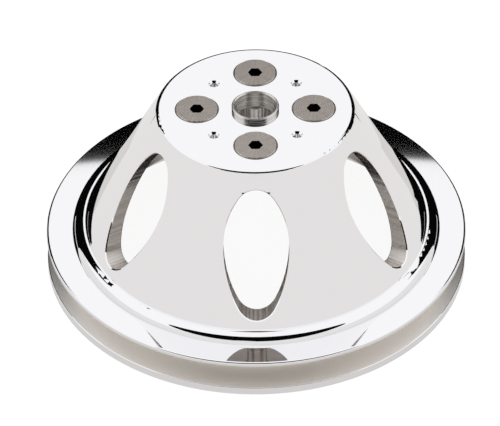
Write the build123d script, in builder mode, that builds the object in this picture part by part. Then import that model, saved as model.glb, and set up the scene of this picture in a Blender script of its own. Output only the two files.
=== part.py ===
"""
Single groove V-belt pulley for an engine's water pump, in millimetres.

The pulley is one turned and milled billet: a round nose plate, a bell with six
lens-shaped windows, and a rim with one belt groove. Four flat head screws pass through
the nose plate into the pump's hub, and a pressed ring sizes the nose bore to the pump's
shaft. The pulley stands on the open edge of its rim, nose up: +Z runs along the pulley's
axis towards the nose, and the origin is on that axis, at the rim's lower edge. One window
faces -Y.
"""
from build123d import *
from math import atan2, cos, radians, sin, tan
import os

os.makedirs("parts", exist_ok=True)

# ---- Overall sizes ----
height = 73.0                # rim's lower edge to the nose face
rim_r = 81.3                 # outside of the belt rim
nose_r = 37.5                # nose face

# ---- Rim: flange, raised bead, belt groove ----
flange_z = 16.0              # top of the flange
flange_width = 10.1          # flange, from the bead out to the rim's edge
flange_edge = 0.8            # rounding of the flange's outer edge
bead_rise = 3.6              # bead above the flange
bead_slope_width = 4.2       # bead's round outer side
bead_crest = 0.8             # flat crest, from the round side in to the bell
lip_edge = 0.5               # edge breaks on the lower lip
rim_wall = 2.7               # metal between the groove's bottom and the rim's inside
groove_top_w = 10.7          # belt groove at the rim's outside
groove_angle = 36.0          # between the groove's two walls
groove_depth = 9.3
groove_lip = 0.4             # rounding of the groove's two lips
groove_floor = 0.6           # inside corners at the groove's bottom
lower_lip = 3.5              # rim's lower edge to the groove
web_thickness = 9.6          # metal under the bead

# ---- Bell ----
bend_reach = 10.8            # bell's bend, from where it starts out to the bead
bend_rise = 20.4             # and its height above the bead
bell_wall = 5.0
foot_wall = 6.2
foot_corner = 1.0            # edge between the bell's inside and the shoulder
shoulder_corner = 1.5        # inside corner between the shoulder and the rim
inner_corner = 2.0           # inside corner between the bell and the nose plate
nose_edge = 1.5              # rounding round the nose face

# ---- Nose plate and its holes ----
plate = 5.0
bolt_circle_r = 22.225       # 1.75 in bolt circle
screw_count = 4
screw_hole_margin = 0.35     # hole beyond the screw's shank, all round
sink_margin = 0.35           # countersink beyond the screw's head, at the nose face
sink_angle = 82.0
cover_hole_r = 1.35          # tap drill for No. 6-32 threads
cover_sink_r = 2.1

# ---- Windows ----
window_count = 6
window_half_w = 12.4
window_top_point = 1.2       # where the sides would meet, above the back of the nose plate
window_low_point = 1.6       # and below the bead's crest
window_wide_share = 0.549    # height of the widest place, between the two points
window_tip_r = 8.0           # rounding of both ends
window_edge = 0.35

# ---- Pressed ring in the nose bore ----
pilot_r = 7.9375             # 5/8 in pilot bore
bushing_wall = 1.0625
bushing_proud = 2.0
bushing_edge = 0.4
press_gap = 0.01

# ---- Screws: 5/16-24 flat head, hex socket ----
screw_length = 15.875       # 5/8 in, head included
shank_r = 3.95
head_r = 8.1
head_proud = 0.4             # head above the nose face
head_edge = 0.25
head_gap = 0.04              # head to countersink, measured along the radius
tip_edge = 0.8
socket_flats = 4.7625        # 3/16 in key
socket_depth = 3.2

# ---- Places worked out from the sizes above ----
bushing_r = pilot_r + bushing_wall
screw_hole_r = shank_r + screw_hole_margin
sink_r = head_r + sink_margin
bead_outer_r = rim_r - flange_width
crest_r = bead_outer_r - bead_slope_width
bead_z = flange_z + bead_rise
shoulder_z = bead_z - web_thickness
groove_bottom_r = rim_r - groove_depth
rim_inner_r = groove_bottom_r - rim_wall
groove_low_z = lower_lip
groove_high_z = lower_lip + groove_top_w
groove_slant = groove_depth * tan(radians(groove_angle / 2))
plate_z = height - plate

foot_r = crest_r - bead_crest
bend_r = foot_r - bend_reach
bend_z = bead_z + bend_rise
slope = atan2(bend_r - nose_r, height - bend_z)       # bell's side, from upright
downhill = (sin(slope), -cos(slope))
inner_bend_r = bend_r - bell_wall * cos(slope)
inner_bend_z = bend_z - bell_wall * sin(slope)
inner_top_r = inner_bend_r - (plate_z - inner_bend_z) * tan(slope)
inner_foot_r = foot_r - foot_wall

window_start = inner_top_r / 2
window_high_z = plate_z + window_top_point
window_low_z = bead_z - window_low_point
window_wide_z = window_low_z + window_wide_share * (window_high_z - window_low_z)

head_top = height + head_proud
sink_slope = tan(radians(sink_angle / 2))
head_low_z = height - (sink_r - head_gap - head_r) / sink_slope
shank_top_z = height - (sink_r - head_gap - shank_r) / sink_slope


def corner(sketch, r, z):
    """The sketch's vertex at radius r and height z."""
    return sketch.vertices().sort_by_distance((r, z))[0]


# ---- Window cutter: a lens with rounded ends, cut straight in from the side ----
with BuildPart() as window_cutter:
    with BuildSketch(Plane.XZ.offset(window_start)) as outline:
        with BuildLine():
            for side in (window_half_w, -window_half_w):
                TangentArc((side, window_wide_z), (0, window_high_z), tangent=(0, 1))
                TangentArc((side, window_wide_z), (0, window_low_z), tangent=(0, -1))
        make_face()
        fillet(corner(outline, 0, window_high_z), window_tip_r)
        fillet(corner(outline, 0, window_low_z), window_tip_r)
    extrude(amount=foot_r - window_start)

# ---- Pulley body: revolved, then windows and holes ----
with BuildPart() as pulley_body:
    with BuildSketch(Plane.XZ) as section:
        with BuildLine():
            Polyline(
                (inner_top_r, plate_z),
                (bushing_r, plate_z),
                (bushing_r, height),
                (nose_r, height),
                (bend_r, bend_z),
            )
            TangentArc((bend_r, bend_z), (foot_r, bead_z), tangent=downhill)
            Line((foot_r, bead_z), (crest_r, bead_z))
            TangentArc((crest_r, bead_z), (bead_outer_r, flange_z), tangent=(1, 0))
            Polyline(
                (bead_outer_r, flange_z),
                (rim_r, flange_z),
                (rim_r, groove_high_z),
                (groove_bottom_r, groove_high_z - groove_slant),
                (groove_bottom_r, groove_low_z + groove_slant),
                (rim_r, groove_low_z),
                (rim_r, 0),
                (rim_inner_r, 0),
                (rim_inner_r, shoulder_z),
                (inner_foot_r, shoulder_z),
            )
            TangentArc((inner_bend_r, inner_bend_z), (inner_foot_r, shoulder_z), tangent=downhill)
            Line((inner_bend_r, inner_bend_z), (inner_top_r, plate_z))
        make_face()
        fillet(corner(section, inner_top_r, plate_z), inner_corner)
        fillet(corner(section, nose_r, height), nose_edge)
        fillet(corner(section, rim_r, flange_z), flange_edge)
        fillet(corner(section, rim_r, groove_high_z), groove_lip)
        fillet(corner(section, rim_r, groove_low_z), groove_lip)
        fillet(corner(section, groove_bottom_r, groove_high_z - groove_slant), groove_floor)
        fillet(corner(section, groove_bottom_r, groove_low_z + groove_slant), groove_floor)
        chamfer(corner(section, rim_r, 0), lip_edge)
        chamfer(corner(section, rim_inner_r, 0), lip_edge)
        fillet(corner(section, rim_inner_r, shoulder_z), shoulder_corner)
        fillet(corner(section, inner_foot_r, shoulder_z), foot_corner)
    revolve(axis=Axis.Z)
    with PolarLocations(0, window_count):
        add(window_cutter.part, mode=Mode.SUBTRACT)
    window_edges = ShapeList()
    for shapes in ((GeomType.CONE,), (GeomType.REVOLUTION, GeomType.TORUS)):
        bell_side = faces().filter_by(lambda face: face.geom_type in shapes).sort_by(SortBy.AREA)[-1]
        window_edges += [edge for edge in bell_side.edges() if edge.geom_type == GeomType.BSPLINE]
    chamfer(window_edges, window_edge)
    with Locations((0, 0, height)):
        with PolarLocations(bolt_circle_r, screw_count):
            CounterSinkHole(screw_hole_r, sink_r, 2 * plate, sink_angle)
        with PolarLocations(bolt_circle_r, screw_count, start_angle=180 / screw_count):
            CounterSinkHole(cover_hole_r, cover_sink_r, 2 * plate, 90)

pulley_body.part.label = "pulley_body"
export_step(pulley_body.part, "parts/pulley_body.step")

# ---- Pressed ring: flush with the back of the nose plate, standing proud of the face ----
with BuildPart() as pilot_ring:
    with BuildSketch(Plane.XY.offset(plate_z)):
        Circle(bushing_r - press_gap)
        Circle(pilot_r, mode=Mode.SUBTRACT)
    extrude(amount=plate + bushing_proud)
    chamfer(pilot_ring.faces().sort_by(Axis.Z)[-1].edges(), bushing_edge)

pilot_ring.part.label = "pilot_ring"
export_step(pilot_ring.part, "parts/pilot_ring.step")

# ---- Screws: one node each, because each turns by itself ----
for number, side in enumerate(("right", "rear", "left", "front")):
    angle = radians(360 / screw_count * number)
    centre = (bolt_circle_r * cos(angle), bolt_circle_r * sin(angle), 0)
    with BuildPart() as screw:
        with BuildSketch(Plane(origin=centre, x_dir=(1, 0, 0), z_dir=(0, -1, 0))) as screw_section:
            with BuildLine():
                Polyline(
                    (0, head_top),
                    (head_r, head_top),
                    (head_r, head_low_z),
                    (shank_r, shank_top_z),
                    (shank_r, head_top - screw_length),
                    (0, head_top - screw_length),
                    close=True,
                )
            make_face()
            chamfer(corner(screw_section, head_r, head_top), head_edge)
            chamfer(corner(screw_section, shank_r, head_top - screw_length), tip_edge)
        revolve(axis=Axis(centre, (0, 0, 1)))
        with BuildSketch(Plane(origin=(centre[0], centre[1], head_top))):
            RegularPolygon(socket_flats / 2, 6, major_radius=False)
        extrude(amount=-socket_depth, mode=Mode.SUBTRACT)
    screw.part.label = "screw_" + side
    export_step(screw.part, "parts/screw_" + side + ".step")
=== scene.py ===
"""Looks of a single groove V-belt pulley for a water pump: finishes, threaded screws and a light tent."""

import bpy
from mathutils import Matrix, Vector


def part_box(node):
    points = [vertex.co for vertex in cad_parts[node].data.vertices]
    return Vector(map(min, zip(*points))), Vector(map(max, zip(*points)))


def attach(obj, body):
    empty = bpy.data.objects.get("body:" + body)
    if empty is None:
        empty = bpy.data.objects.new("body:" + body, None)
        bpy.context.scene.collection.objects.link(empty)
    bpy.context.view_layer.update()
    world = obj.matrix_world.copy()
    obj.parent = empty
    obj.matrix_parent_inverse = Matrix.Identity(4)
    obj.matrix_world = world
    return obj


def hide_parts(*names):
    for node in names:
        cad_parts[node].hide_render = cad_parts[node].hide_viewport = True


bl_info = {
    "name": "V-belt pulley looks",
    "version": (1, 0, 0),
    "blender": (4, 5, 0),
    "location": "View3D > Sidebar > Pulley",
    "description": "Polished finish, threaded screws and a light tent for a V-belt pulley",
    "category": "Object",
}

import math

import bpy
import numpy as np
from mathutils import Matrix, Vector

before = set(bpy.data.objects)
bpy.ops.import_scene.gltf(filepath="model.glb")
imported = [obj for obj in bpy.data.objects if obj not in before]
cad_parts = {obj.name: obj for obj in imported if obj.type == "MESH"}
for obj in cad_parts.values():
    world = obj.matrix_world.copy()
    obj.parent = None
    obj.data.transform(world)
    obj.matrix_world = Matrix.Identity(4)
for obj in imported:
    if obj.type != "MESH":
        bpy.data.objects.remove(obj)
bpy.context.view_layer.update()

MM = 0.001
SIDES = ("right", "rear", "left", "front")

# ---- Screw mesh, millimetres ----
SCREW_COLUMNS = 72          # a multiple of 6, so that the key's corners fall on columns
THREAD_ROWS = 14            # per pitch
SOCKET_EDGE, HEAD_EDGE, TIP_EDGE = 0.12, 0.25, 0.8
HEAD_RINGS = (0.35, 0.7, 1.0)       # rows across the head's flat, as shares of its width
SCREW_CREASE = 35           # degrees; a sharper fold is a hard edge

# ---- Tool marks, lengths in metres ----
TURNING_MARK = 0.0006       # lathe marks are about 0.1 mm apart, drawn coarser so that they show
MILLING_MARK = 0.0009       # cutter marks on the window walls, drawn coarser too
FACING_MARK = 0.0004        # rings on the screw heads
MARK_DEPTH = 0.00002
MARK_STRENGTH = 0.6
SCRATCHES = 26              # fine scratches that run out from the key, per unit of direction
SCRATCH_SHARE = 0.55        # of the marks on a screw's head; the rest are rings
SOCKET_REACH = 0.001        # the plan map is zero inside the socket, and longer than this outside it
MARK_DETAIL, SCRATCH_DETAIL = 2, 3      # extra octaves of the noise
MARK_SPAN = (0.3, 0.7)      # part of the noise that goes from dark to light
STEEL_SPAN = (0.35, 0.65)

# ---- Roughness: one value, or in the marks and between them ----
POLISHED_ROUGHNESS = 0.03
GROOVE_ROUGHNESS = 0.38
CUT_ROUGHNESS = (0.28, 0.5)
TURNED_ROUGHNESS = (0.2, 0.36)
STEEL_ROUGHNESS = (0.24, 0.42)

# ---- Where the billet isn't polished: radius and height in metres, facing and upward as cosines ----
WINDOW_STEP = math.radians(60)
REGIONS = {
    "groove": (("radius", 0.0719, 0.0809), ("height", 0.0036, 0.0141)),
    "walls": (("facing", -0.4, 0.4), ("height", 0.0205, 0.0679), ("radius", 0.025, 0.0658)),
    "underside": (("upward", -1.1, -0.02), ("radius", 0, 0.0719)),
    "rim_inside": (("facing", -1.1, -0.9), ("height", 0.0005, 0.0115)),
}

# ---- Stage ----
SENSOR_WIDTH = 36           # mm
CLIP_START, CLIP_END = 0.05, 50
CARD_COLUMNS, CARD_ROWS = 61, 13
CARD_TIP = 0.999            # an oval card stops just short of its points
CLOTH_ROUGHNESS = 0.9
CLOTHS = {                  # base colour, glow, tint of the glow
    "paper": ("707070", 0.9, (1, 1, 1, 1)),
    # Partly painted shade: this cloth glows dimmer than the floor, for the table's own grey and for the
    # pulley's shade on it.
    "reflected_table_and_shade": ("101010", 0.68, (1, 0.97, 0.95, 1)),
    "grey": ("101010", 0.82, (1, 0.98, 0.96, 1)),
    "black": ("060606", 0, (1, 1, 1, 1)),
}
SHEETS = (                  # cloth, half its width and its height in mm; one below 0 shows in reflections only
    ("floor", "paper", 4000, 0),
    # Seen only in reflections; its dimmer glow is partly the table's grey and partly painted shade near the
    # pulley.
    ("reflected_table_and_painted_shade", "reflected_table_and_shade", 110, -1),
    ("shade_under_the_bell", "black", 46, -0.9),
)
CARDS = (                   # cloth, reach in mm, first and last azimuth, low and high elevation, oval or not
    ("flag_behind", "black", 1200, -12, 12, -15, 38.25, False),
    ("flag_behind_left", "black", 1200, -57, -12, -2, 46, False),
    ("flag_behind_right", "black", 1200, 12, 57, -2, 46, False),
    ("flag_low_left", "black", 1200, -40, -12, -15, -2, False),
    ("flag_low_right", "black", 1200, 12, 40, -15, -2, False),
    ("flag_in_front", "black", 1200, 123, 237, 21, 64, True),
    ("grey_side_cloth", "grey", 1300, 57, 303, -15, 24, False),
    ("grey_sweep_below", "grey", 1300, 0, 360, -89, -2, False),
)


# ---- Sizes and colours that a user would change ----

class ScrewSizes(bpy.types.PropertyGroup):
    """Flat head hex socket screw, 5/16-24."""
    pitch: bpy.props.FloatProperty(
        name="Thread pitch", description="From one thread crest to the next, in millimetres",
        default=1.058, min=0.2, max=3)
    major_r: bpy.props.FloatProperty(
        name="Thread radius", description="Radius over the thread crests, in millimetres",
        default=3.93, min=1, max=10)
    depth: bpy.props.FloatProperty(
        name="Thread depth", description="Crest to root, in millimetres", default=0.62, min=0.1, max=2)
    socket_flats: bpy.props.FloatProperty(
        name="Key size", description="Across the flats of the hex socket, in millimetres",
        default=4.7625, min=1, max=12)
    head_land: bpy.props.FloatProperty(
        name="Head land", description="Height of the head's straight side, in millimetres",
        default=0.757, min=0.1)
    cone_angle: bpy.props.FloatProperty(
        name="Head angle", description="Angle of the cone under the head",
        default=math.radians(82), subtype="ANGLE")
    socket_depth: bpy.props.FloatProperty(
        name="Socket depth", description="Depth of the hex socket, in millimetres",
        default=3.2, min=0.5, max=10)


class FinishColours(bpy.types.PropertyGroup):
    """Metal colours, sRGB, and the painted shade inside the key socket."""
    polished: bpy.props.StringProperty(
        name="Polished aluminium", description="Base colour of the mirror finish, as an sRGB hex value",
        default="f6f6f8")
    groove: bpy.props.StringProperty(
        name="Belt groove", description="Base colour of the finely turned groove, as an sRGB hex value",
        default="f5f2ee")
    turned: bpy.props.StringProperty(
        name="Turned aluminium", description="Base colour of the pressed ring, as an sRGB hex value",
        default="e6e3e0")
    turned_dark: bpy.props.StringProperty(
        name="Turned aluminium, marks", description="The ring's colour in its marks, as an sRGB hex value",
        default="c8c4c1")
    milled: bpy.props.StringProperty(
        name="Milled aluminium", description="Base colour of window walls and inside, as an sRGB hex value",
        default="f6f2ee")
    milled_dark: bpy.props.StringProperty(
        name="Milled aluminium, marks", description="Their colour in the tool marks, as an sRGB hex value",
        default="d6d0cb")
    steel: bpy.props.StringProperty(
        name="Stainless steel", description="Base colour of the screws, as an sRGB hex value",
        default="dcd3cc")
    steel_dark: bpy.props.StringProperty(
        name="Stainless steel, marks", description="The screws' colour in their marks, as an sRGB hex value",
        default="a69d97")
    # Painted shade: the key socket's recess is coloured near black, as it lies in shadow.
    socket: bpy.props.StringProperty(
        name="Key socket", description="Oil-blackened steel inside the socket, as an sRGB hex value",
        default="171413")


class StudioSizes(bpy.types.PropertyGroup):
    """Camera and light tent."""
    camera_elevation: bpy.props.FloatProperty(
        name="Camera elevation", description="Camera's height above the horizon",
        default=math.radians(38.34), subtype="ANGLE")
    camera_distance: bpy.props.FloatProperty(
        name="Camera distance", description="From the middle of the nose face",
        default=1.6706, unit="LENGTH", subtype="DISTANCE")
    focal_length: bpy.props.FloatProperty(
        name="Focal length", description="On a sensor 36 mm wide, in millimetres", default=316.6)
    camera_roll: bpy.props.FloatProperty(
        name="Camera roll", description="Turn of the picture about the view's axis",
        default=math.radians(-0.476), subtype="ANGLE")
    camera_aim: bpy.props.FloatVectorProperty(
        name="Camera aim", description="Point in the middle of the picture",
        default=(-0.0023, -0.0245, 0.042), unit="LENGTH", subtype="TRANSLATION")
    tent_light: bpy.props.FloatProperty(
        name="Tent light", description="Brightness of the tent's white cloth", default=1.0, min=0, max=10)


# ---- Small helpers ----

def linear(hex_colour):
    """sRGB hex text to a linear colour: c/12.92 up to 0.04045, and ((c+0.055)/1.055)^2.4 above it."""
    parts = [int(hex_colour[i:i + 2], 16) / 255 for i in (0, 2, 4)]
    return [c / 12.92 if c <= 0.04045 else ((c + 0.055) / 1.055) ** 2.4 for c in parts] + [1.0]


def node(tree, kind, links=(), **settings):
    """Adds a node. A setting names one of its properties, or, as in_ and a number, one of its inputs."""
    made = tree.nodes.new(kind)
    for key, value in settings.items():
        if key.startswith("in_"):
            made.inputs[int(key[3:])].default_value = value
        else:
            setattr(made, key, value)
    for source, target in links:
        tree.links.new(source, made.inputs[target])
    return made


def new_material(name):
    """An empty material with its Principled shader: (material, tree, shader)."""
    made = bpy.data.materials.new(name)
    made.use_nodes = True
    return made, made.node_tree, made.node_tree.nodes["Principled BSDF"]


def dress(obj, material):
    """Gives a piece one material."""
    obj.data.materials.clear()
    obj.data.materials.append(material)


def mesh_piece(name, points, faces, smooth_angle=30):
    """A mesh object at the origin, from points in millimetres and faces; the angle is in degrees."""
    mesh = bpy.data.meshes.new(name)
    mesh.from_pydata((np.asarray(points) * MM).tolist(), [], [list(f) for f in faces])
    mesh.validate()
    mesh.shade_smooth()
    mesh.set_sharp_from_angle(angle=math.radians(smooth_angle))
    made = bpy.data.objects.new(name, mesh)
    bpy.context.scene.collection.objects.link(made)
    return made


def grid_faces(rows, columns):
    """Quads of a grid whose columns close on themselves: corner (i, j) joins (i, j+1), (i+1, j+1), (i+1, j)."""
    i, j = np.meshgrid(np.arange(rows - 1), np.arange(columns), indexing="ij")
    k = (j + 1) % columns
    row, below = i * columns, (i + 1) * columns
    return np.stack([row + j, row + k, below + k, below + j], -1).reshape(-1, 4)


def card(name, reach, first, last, low, high, oval):
    """A card bent round the stand, reach mm away, between two azimuths and two elevations.

    Point (u, v) is reach * (cos v sin u, cos v cos u, sin v), u the azimuth from +Y towards +X and v the
    elevation. An oval card's height shrinks to its ends as sqrt(1 - t^2), t from -1 to 1 along the card.
    """
    t, s = np.meshgrid(np.linspace(-CARD_TIP, CARD_TIP, CARD_COLUMNS), np.linspace(-1, 1, CARD_ROWS))
    span = np.sqrt(1 - t ** 2) if oval else 1
    u = np.radians((first + last) / 2 + (last - first) / 2 * t)
    v = np.radians((low + high) / 2 + (high - low) / 2 * s * span)
    points = reach * np.stack([np.cos(v) * np.sin(u), np.cos(v) * np.cos(u), np.sin(v)], -1)
    i, j = np.meshgrid(np.arange(CARD_ROWS - 1), np.arange(CARD_COLUMNS - 1), indexing="ij")
    low_left, high_left = i * CARD_COLUMNS + j, (i + 1) * CARD_COLUMNS + j
    faces = np.stack([low_left, low_left + 1, high_left + 1, high_left], -1)
    return mesh_piece(name, points.reshape(-1, 3), faces.reshape(-1, 4))


# ---- Finishes ----

def polished_finish(colours):
    """Billet aluminium, turned and milled, then buffed to a mirror; tool marks stay where no buff reaches.

    Radius is the distance from the axis, and facing the surface normal's part along it. The groove is where
    radius and height lie between its lips. A window's wall faces neither out nor in. The inside looks down,
    or is the rim's inner wall. Turning marks are noise of (radius, height), so they run round the axis.
    Milling marks are noise of (side, height), side = radius * sin(azimuth folded to one window), so they run
    straight in.
    """
    made, tree, shader = new_material("mirror_polished_aluminium")
    place = node(tree, "ShaderNodeTexCoord")
    where = node(tree, "ShaderNodeSeparateXYZ", [(place.outputs["Object"], 0)])
    flat = node(tree, "ShaderNodeVectorMath", [(place.outputs["Object"], 0)],
                operation="MULTIPLY", in_1=(1, 1, 0))
    radius = node(tree, "ShaderNodeVectorMath", [(flat.outputs[0], 0)], operation="LENGTH").outputs["Value"]
    radial = node(tree, "ShaderNodeVectorMath", [(flat.outputs[0], 0)], operation="NORMALIZE")
    facing = node(tree, "ShaderNodeVectorMath", [(place.outputs["Normal"], 0), (radial.outputs[0], 1)],
                  operation="DOT_PRODUCT").outputs["Value"]
    upward = node(tree, "ShaderNodeSeparateXYZ", [(place.outputs["Normal"], 0)]).outputs[2]
    height = where.outputs[2]
    measures = {"radius": radius, "height": height, "facing": facing, "upward": upward}

    masks = {}
    for region, limits in REGIONS.items():
        parts = [node(tree, "ShaderNodeMath", [(measures[key], 0)], operation="COMPARE",
                      in_1=(low + high) / 2, in_2=(high - low) / 2).outputs[0] for key, low, high in limits]
        masks[region] = parts[0]
        for part in parts[1:]:
            masks[region] = node(tree, "ShaderNodeMath", [(masks[region], 0), (part, 1)],
                                 operation="MULTIPLY").outputs[0]
    groove, walls = masks["groove"], masks["walls"]
    inside = node(tree, "ShaderNodeMath", [(masks["underside"], 0), (masks["rim_inside"], 1)],
                  operation="MAXIMUM").outputs[0]

    section = node(tree, "ShaderNodeCombineXYZ", [(radius, 0), (height, 1)])
    turning = node(tree, "ShaderNodeTexNoise", [(section.outputs[0], 0)],
                   noise_dimensions="2D", in_2=1 / TURNING_MARK, in_3=MARK_DETAIL)
    azimuth = node(tree, "ShaderNodeMath", [(where.outputs[0], 0), (where.outputs[1], 1)], operation="ARCTAN2")
    fold = node(tree, "ShaderNodeMath", [(azimuth.outputs[0], 0)],
                operation="WRAP", in_1=WINDOW_STEP / 2, in_2=-WINDOW_STEP / 2)
    sine = node(tree, "ShaderNodeMath", [(fold.outputs[0], 0)], operation="SINE")
    side = node(tree, "ShaderNodeMath", [(sine.outputs[0], 0), (radius, 1)], operation="MULTIPLY")
    across = node(tree, "ShaderNodeCombineXYZ", [(side.outputs[0], 0), (height, 1)])
    milling = node(tree, "ShaderNodeTexNoise", [(across.outputs[0], 0)],
                   noise_dimensions="2D", in_2=1 / MILLING_MARK, in_3=MARK_DETAIL)
    marks = node(tree, "ShaderNodeMix", [(walls, 0), (turning.outputs[0], 2), (milling.outputs[0], 3)])

    cut = node(tree, "ShaderNodeMath", [(walls, 0), (inside, 1)], operation="MAXIMUM").outputs[0]
    tool = node(tree, "ShaderNodeMapRange", [(marks.outputs[0], 0)],
                in_1=MARK_SPAN[0], in_2=MARK_SPAN[1], in_3=CUT_ROUGHNESS[0], in_4=CUT_ROUGHNESS[1])
    smooth = node(tree, "ShaderNodeMix", [(cut, 0), (tool.outputs[0], 3)], in_2=POLISHED_ROUGHNESS)
    rough = node(tree, "ShaderNodeMix", [(groove, 0), (smooth.outputs[0], 2)], in_3=GROOVE_ROUGHNESS)
    tree.links.new(rough.outputs[0], shader.inputs["Roughness"])

    shade = node(tree, "ShaderNodeMapRange", [(marks.outputs[0], 0)], in_1=MARK_SPAN[0], in_2=MARK_SPAN[1])
    milled = node(tree, "ShaderNodeMix", [(shade.outputs[0], 0)], data_type="RGBA",
                  in_6=linear(colours.milled_dark), in_7=linear(colours.milled))
    outside = node(tree, "ShaderNodeMix", [(groove, 0)], data_type="RGBA",
                   in_6=linear(colours.polished), in_7=linear(colours.groove))
    colour = node(tree, "ShaderNodeMix", [(cut, 0), (outside.outputs[2], 6), (milled.outputs[2], 7)],
                  data_type="RGBA")
    tree.links.new(colour.outputs[2], shader.inputs["Base Color"])
    marked = node(tree, "ShaderNodeMath", [(cut, 0), (groove, 1)], operation="MAXIMUM").outputs[0]
    dent = node(tree, "ShaderNodeMath", [(marked, 0)], operation="MULTIPLY", in_1=MARK_STRENGTH)
    bump = node(tree, "ShaderNodeBump", [(dent.outputs[0], 0), (marks.outputs[0], 3)], in_1=MARK_DEPTH)
    tree.links.new(bump.outputs[0], shader.inputs["Normal"])
    shader.inputs["Metallic"].default_value = 1
    return made


def turned_finish(colours):
    """Aluminium left as turned: satin, with marks round the axis that catch the light as fine rings.

    The marks are noise of (radius, height).
    """
    made, tree, shader = new_material("turned_aluminium")
    place = node(tree, "ShaderNodeTexCoord")
    where = node(tree, "ShaderNodeSeparateXYZ", [(place.outputs["Object"], 0)])
    flat = node(tree, "ShaderNodeVectorMath", [(place.outputs["Object"], 0)],
                operation="MULTIPLY", in_1=(1, 1, 0))
    radius = node(tree, "ShaderNodeVectorMath", [(flat.outputs[0], 0)], operation="LENGTH").outputs["Value"]
    section = node(tree, "ShaderNodeCombineXYZ", [(radius, 0), (where.outputs[2], 1)])
    turning = node(tree, "ShaderNodeTexNoise", [(section.outputs[0], 0)],
                   noise_dimensions="2D", in_2=1 / TURNING_MARK, in_3=MARK_DETAIL)
    rough = node(tree, "ShaderNodeMapRange", [(turning.outputs[0], 0)],
                 in_1=MARK_SPAN[0], in_2=MARK_SPAN[1], in_3=TURNED_ROUGHNESS[0], in_4=TURNED_ROUGHNESS[1])
    tree.links.new(rough.outputs[0], shader.inputs["Roughness"])
    shade = node(tree, "ShaderNodeMapRange", [(turning.outputs[0], 0)], in_1=MARK_SPAN[0], in_2=MARK_SPAN[1])
    colour = node(tree, "ShaderNodeMix", [(shade.outputs[0], 0)], data_type="RGBA",
                  in_6=linear(colours.turned_dark), in_7=linear(colours.turned))
    tree.links.new(colour.outputs[2], shader.inputs["Base Color"])
    bump = node(tree, "ShaderNodeBump", [(turning.outputs[0], 3)], in_0=MARK_STRENGTH, in_1=MARK_DEPTH)
    tree.links.new(bump.outputs[0], shader.inputs["Normal"])
    shader.inputs["Metallic"].default_value = 1
    return made


def screw_finish(colours):
    """Stainless steel, cold headed and faced: satin warm grey, with rings and fine scratches out from the key.

    The "plan" map holds each screw's own (x, y) in metres, and nothing but zeros inside the socket. Rings are
    noise of its length, scratches noise of its direction.
    """
    made, tree, shader = new_material("satin_stainless_steel")
    plan = node(tree, "ShaderNodeUVMap", uv_map="plan")
    radius = node(tree, "ShaderNodeVectorMath", [(plan.outputs[0], 0)], operation="LENGTH").outputs["Value"]
    rings = node(tree, "ShaderNodeTexNoise", [(radius, 1)],
                 noise_dimensions="1D", in_2=1 / FACING_MARK, in_3=MARK_DETAIL)
    way = node(tree, "ShaderNodeVectorMath", [(plan.outputs[0], 0)], operation="NORMALIZE")
    scratches = node(tree, "ShaderNodeTexNoise", [(way.outputs[0], 0)],
                     noise_dimensions="2D", in_2=SCRATCHES, in_3=SCRATCH_DETAIL)
    marks = node(tree, "ShaderNodeMix", [(rings.outputs[0], 2), (scratches.outputs[0], 3)], in_0=SCRATCH_SHARE)
    rough = node(tree, "ShaderNodeMapRange", [(marks.outputs[0], 0)],
                 in_1=STEEL_SPAN[0], in_2=STEEL_SPAN[1], in_3=STEEL_ROUGHNESS[0], in_4=STEEL_ROUGHNESS[1])
    tree.links.new(rough.outputs[0], shader.inputs["Roughness"])
    shade = node(tree, "ShaderNodeMapRange", [(marks.outputs[0], 0)], in_1=STEEL_SPAN[0], in_2=STEEL_SPAN[1])
    steel = node(tree, "ShaderNodeMix", [(shade.outputs[0], 0)], data_type="RGBA",
                 in_6=linear(colours.steel_dark), in_7=linear(colours.steel))
    # Painted shade: inside the socket the colour is near black, for the recess's shadow.
    outside = node(tree, "ShaderNodeMath", [(radius, 0)], operation="GREATER_THAN", in_1=SOCKET_REACH)
    colour = node(tree, "ShaderNodeMix", [(outside.outputs[0], 0), (steel.outputs[2], 7)], data_type="RGBA",
                  in_6=linear(colours.socket))
    tree.links.new(colour.outputs[2], shader.inputs["Base Color"])
    bump = node(tree, "ShaderNodeBump", [(marks.outputs[0], 3)], in_0=MARK_STRENGTH, in_1=MARK_DEPTH)
    tree.links.new(bump.outputs[0], shader.inputs["Normal"])
    shader.inputs["Metallic"].default_value = 1
    return made


# ---- The screw's surface ----

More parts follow.
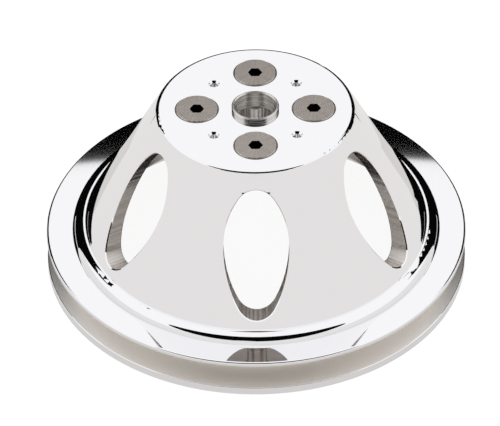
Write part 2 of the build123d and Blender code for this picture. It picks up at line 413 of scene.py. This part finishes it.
def screw_surface(sizes, box):
    """A flat head screw as one closed surface of (angle, row): (points in mm, faces, plan map in metres).

    Rows run from the middle of the socket's floor, up its wall, over the head, down its cone and along the
    thread to the middle of the tip. The socket's radius is flats / 2 / cos(angle mod 60 - 30 degrees). The
    thread's radius falls from the crest by depth * |2 frac(height / pitch + angle / 360) - 1|, and fades out
    at both ends.
    """
    low, high = np.array(box) / MM
    centre, top, tip = (low + high)[:2] / 2, high[2], low[2]
    head_r = (high[0] - low[0]) / 2
    angle = np.linspace(0, 2 * math.pi, SCREW_COLUMNS, endpoint=False)
    key = sizes.socket_flats / 2 / np.cos(angle % (math.pi / 3) - math.pi / 6)
    land_low = top - sizes.head_land
    cone_low = land_low - (head_r - sizes.major_r) / math.tan(sizes.cone_angle / 2)
    floor = top - sizes.socket_depth

    socket = [(key / 2, floor), (key, floor), (key, top - SOCKET_EDGE)]
    head = [(key + SOCKET_EDGE, top)]
    head += [(key + (head_r - HEAD_EDGE - key) * share, top) for share in HEAD_RINGS]
    head += [(head_r, top - HEAD_EDGE), (head_r, land_low), (sizes.major_r, cone_low)]
    rows = int((cone_low - tip) / sizes.pitch * THREAD_ROWS)
    height = np.linspace(cone_low, tip + TIP_EDGE, rows)[1:, None]
    fade = np.clip(np.minimum(cone_low - height, height - tip - TIP_EDGE) / sizes.pitch, 0, 1)
    turn = np.abs(2 * ((height / sizes.pitch + angle / (2 * math.pi)) % 1) - 1)
    thread = list(zip(sizes.major_r - sizes.depth * turn * fade, height[:, 0]))
    end = [(sizes.major_r - TIP_EDGE, tip), (sizes.major_r / 2, tip)]

    profile = socket + head + thread + end
    radii = np.stack([radius + 0 * angle for radius, level in profile])
    levels = np.array([level for radius, level in profile])[:, None] + 0 * radii
    grid = np.stack([radii * np.cos(angle), radii * np.sin(angle), levels], -1).reshape(-1, 3)
    points = np.vstack([grid, (0, 0, floor), (0, 0, tip)])
    column = np.arange(SCREW_COLUMNS)
    after = (column + 1) % SCREW_COLUMNS
    last = len(grid) - SCREW_COLUMNS
    floor_fan = np.stack([0 * column + len(grid), column, after], -1)
    tip_fan = np.stack([0 * column + len(grid) + 1, last + after, last + column], -1)
    faces = grid_faces(len(profile), SCREW_COLUMNS)[:, ::-1].tolist() + floor_fan.tolist() + tip_fan.tolist()
    plan = points[:, :2] * MM
    plan[:len(socket) * SCREW_COLUMNS] = 0
    return points + np.append(centre, 0), faces, plan


# ---- Operators: one for each piece or group of like pieces, and one for the stage ----

class PULLEY_OT_body(bpy.types.Operator):
    """Gives the billet its mirror polish"""
    bl_idname = "pulley.body"
    bl_label = "Polish the pulley body"

    def execute(self, context):
        dress(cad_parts["pulley_body"], polished_finish(context.scene.pulley_colours))
        return {"FINISHED"}


class PULLEY_OT_ring(bpy.types.Operator):
    """Gives the pressed ring its turned finish"""
    bl_idname = "pulley.ring"
    bl_label = "Finish the pilot ring"

    def execute(self, context):
        dress(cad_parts["pilot_ring"], turned_finish(context.scene.pulley_colours))
        return {"FINISHED"}


class PULLEY_OT_screws(bpy.types.Operator):
    """Cuts threads and key sockets on the four screws"""
    bl_idname = "pulley.screws"
    bl_label = "Make the screws"

    def execute(self, context):
        finish = screw_finish(context.scene.pulley_colours)
        for side in SIDES:
            node_name = "screw_" + side
            points, faces, plan = screw_surface(context.scene.pulley_screws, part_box(node_name))
            piece = mesh_piece("threaded_screw_" + side, points, faces, SCREW_CREASE)
            layer = piece.data.uv_layers.new(name="plan")
            corners = np.empty(len(piece.data.loops), dtype=np.int32)
            piece.data.loops.foreach_get("vertex_index", corners)
            layer.data.foreach_set("uv", plan[corners].ravel())
            dress(piece, finish)
            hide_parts(node_name)
            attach(piece, node_name)
        return {"FINISHED"}


class PULLEY_OT_stage(bpy.types.Operator):
    """Sets up the floor, the light tent and the camera"""
    bl_idname = "pulley.stage"
    bl_label = "Set up the stage"

    def execute(self, context):
        studio = context.scene.pulley_studio
        scene = context.scene
        scene.view_settings.view_transform = "Standard"
        nose = Vector((0, 0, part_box("pulley_body")[1].z))
        tilt = studio.camera_elevation
        back = Vector((0, -math.cos(tilt), math.sin(tilt)))
        lens = bpy.data.cameras.new("camera")
        lens.lens, lens.sensor_width = studio.focal_length, SENSOR_WIDTH
        lens.clip_start, lens.clip_end = CLIP_START, CLIP_END
        camera = bpy.data.objects.new("camera", lens)
        scene.collection.objects.link(camera)
        camera.location = nose + back * studio.camera_distance
        turn = (camera.location - Vector(studio.camera_aim)).to_track_quat("Z", "Y")
        camera.rotation_mode = "QUATERNION"
        camera.rotation_quaternion = turn @ Matrix.Rotation(studio.camera_roll, 3, "Z").to_quaternion()
        scene.camera = camera

        cloths = {}
        for cloth, (albedo, glow, tint) in CLOTHS.items():
            cloths[cloth], tree, shader = new_material(cloth + "_cloth")
            shader.inputs["Base Color"].default_value = linear(albedo)
            shader.inputs["Roughness"].default_value = CLOTH_ROUGHNESS
            shader.inputs["Specular IOR Level"].default_value = 0
            shader.inputs["Emission Color"].default_value = tint
            shader.inputs["Emission Strength"].default_value = glow

        for name, cloth, half, level in SHEETS:
            corners = [(-half, -half, level), (half, -half, level), (half, half, level), (-half, half, level)]
            sheet = mesh_piece(name, corners, [(0, 1, 2, 3)])
            dress(sheet, cloths[cloth])
            below = level < 0
            sheet.visible_glossy = below
            sheet.visible_camera = sheet.visible_diffuse = sheet.visible_shadow = not below
        for name, cloth, *sizes in CARDS:
            flag = card(name, *sizes)
            dress(flag, cloths[cloth])
            flag.visible_camera = flag.visible_diffuse = flag.visible_shadow = False

        world = bpy.data.worlds.new("light_tent")
        world.use_nodes = True
        world.node_tree.nodes["Background"].inputs[0].default_value = (1, 1, 1, 1)
        world.node_tree.nodes["Background"].inputs[1].default_value = studio.tent_light
        scene.world = world
        return {"FINISHED"}


class PULLEY_PT_panel(bpy.types.Panel):
    """Lists the pulley's pieces and its stage"""
    bl_label = "V-belt pulley"
    bl_idname = "PULLEY_PT_panel"
    bl_space_type = "VIEW_3D"
    bl_region_type = "UI"
    bl_category = "Pulley"

    def draw(self, context):
        for operator in OPERATORS:
            self.layout.operator(operator.bl_idname)
        for group in GROUPS:
            box = self.layout.box()
            for key in GROUPS[group].__annotations__:
                box.prop(getattr(context.scene, group), key)


GROUPS = {"pulley_screws": ScrewSizes, "pulley_colours": FinishColours, "pulley_studio": StudioSizes}
OPERATORS = (PULLEY_OT_body, PULLEY_OT_ring, PULLEY_OT_screws, PULLEY_OT_stage)


def register():
    """Registers the classes and hangs the property groups on the scene."""
    for group in GROUPS.values():
        bpy.utils.register_class(group)
    for operator in OPERATORS + (PULLEY_PT_panel,):
        bpy.utils.register_class(operator)
    for name, group in GROUPS.items():
        setattr(bpy.types.Scene, name, bpy.props.PointerProperty(type=group))


def unregister():
    """Takes all of that away again."""
    for name in GROUPS:
        delattr(bpy.types.Scene, name)
    for made in (PULLEY_PT_panel, *reversed(OPERATORS), *GROUPS.values()):
        bpy.utils.unregister_class(made)


def main():
    """Makes every piece and the stage."""
    register()
    bpy.ops.pulley.body()
    bpy.ops.pulley.ring()
    bpy.ops.pulley.screws()
    bpy.ops.pulley.stage()


if __name__ == "__main__":
    main()
